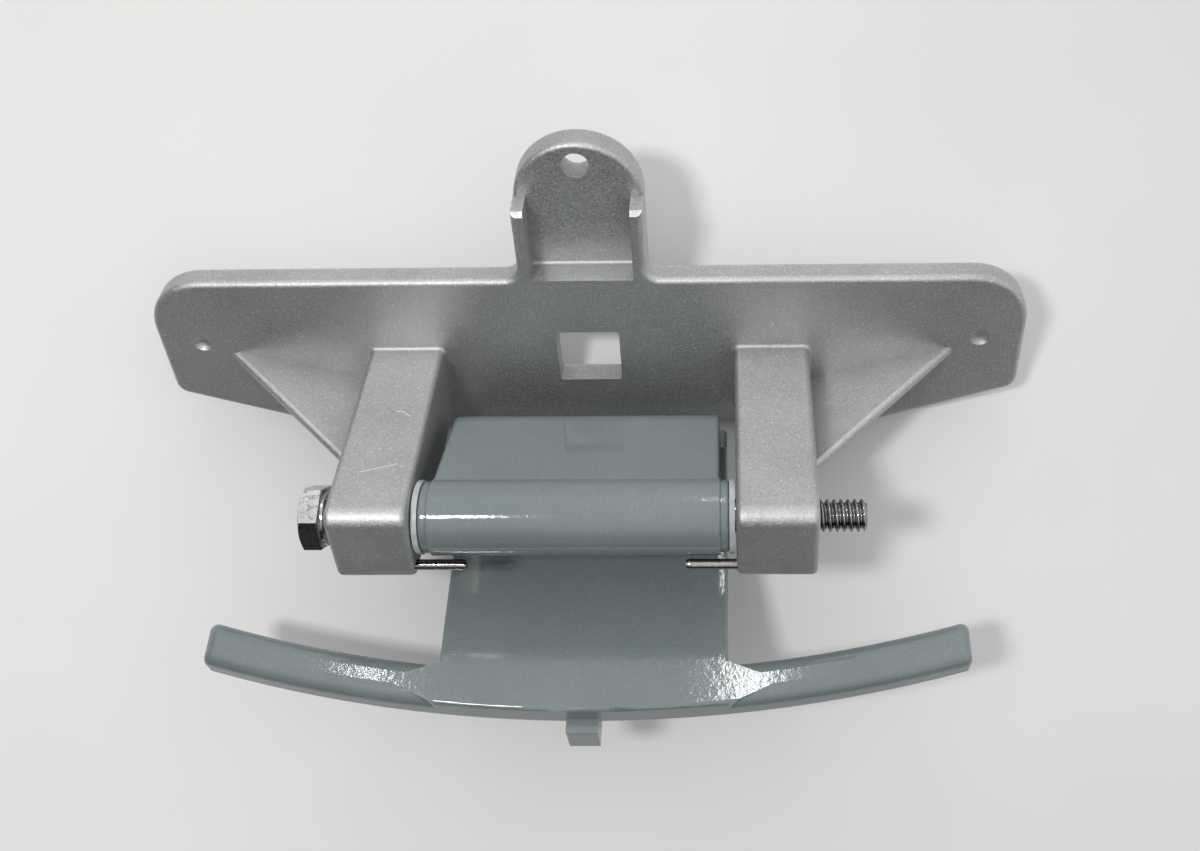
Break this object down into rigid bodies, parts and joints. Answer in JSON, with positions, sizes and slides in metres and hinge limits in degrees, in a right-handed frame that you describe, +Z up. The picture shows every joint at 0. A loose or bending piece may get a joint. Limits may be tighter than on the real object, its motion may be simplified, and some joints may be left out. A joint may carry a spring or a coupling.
{
  "type": "dryer door hinge",
  "caption": "Cast door hinge for a dryer: plate with tab and arms, a bolt with flanged bushes, and a painted gooseneck leaf with a curved bar that swings between the arms.",
  "frame": {"origin": "on the plate's back face, on the mid-plane, below the square hole", "axes": "+X along the hinge axis towards the bolt's threaded end, +Z up the plate towards the tab, +Y out of the back face; the arms run to -Y"},
  "size_m": [0.1756, 0.0724, 0.0958],
  "materials": {
    "cast_aluminium": "fine blasted casting",
    "grey_paint": "gloss grey-blue metallic paint",
    "bolt_steel": "bright plated steel",
    "white_nylon": "satin nylon",
    "pin_steel": "drawn steel"
  },
  "bodies": {
    "frame": {"mount_bracket": "cast_aluminium", "hinge_bolt": "bolt_steel", "stop_pin_left": "pin_steel", "stop_pin_right": "pin_steel"},
    "door": {"door_bracket": "grey_paint", "bush_left": "white_nylon", "bush_right": "white_nylon"}
  },
  "joints": [
    {"name": "door_hinge", "type": "hinge", "parent": "frame", "child": "door", "pos_m": [0, -0.0429, 0.0066], "axis": [1, 0, 0], "range_deg": [-118, 76.6]}
  ]
}
